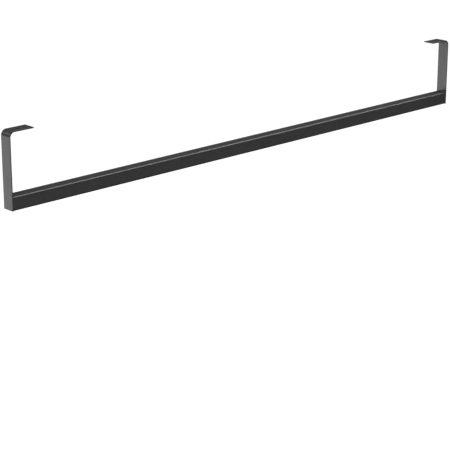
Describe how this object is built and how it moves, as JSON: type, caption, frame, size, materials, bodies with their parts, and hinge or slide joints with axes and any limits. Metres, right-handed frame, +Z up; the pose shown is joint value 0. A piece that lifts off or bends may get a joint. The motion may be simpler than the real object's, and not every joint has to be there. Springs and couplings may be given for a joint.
{
  "type": "towel bar",
  "caption": "Straight square-tube towel bar welded between bent strip arms, whose inward tabs screw up under a shelf or washstand top.",
  "frame": {"origin": "on the mounting plane, which is the top of both tabs, midway between the screw holes", "axes": "+X along the bar, -Y is the front, +Z up towards the shelf it is fixed under"},
  "size_m": [0.9, 0.02, 0.11],
  "materials": {
    "black_powder_coat": "fine-textured matt black powder coat on steel"
  },
  "bodies": {
    "root": {"crossbar": "black_powder_coat", "left_arm": "black_powder_coat", "right_arm": "black_powder_coat"}
  },
  "joints": []
}
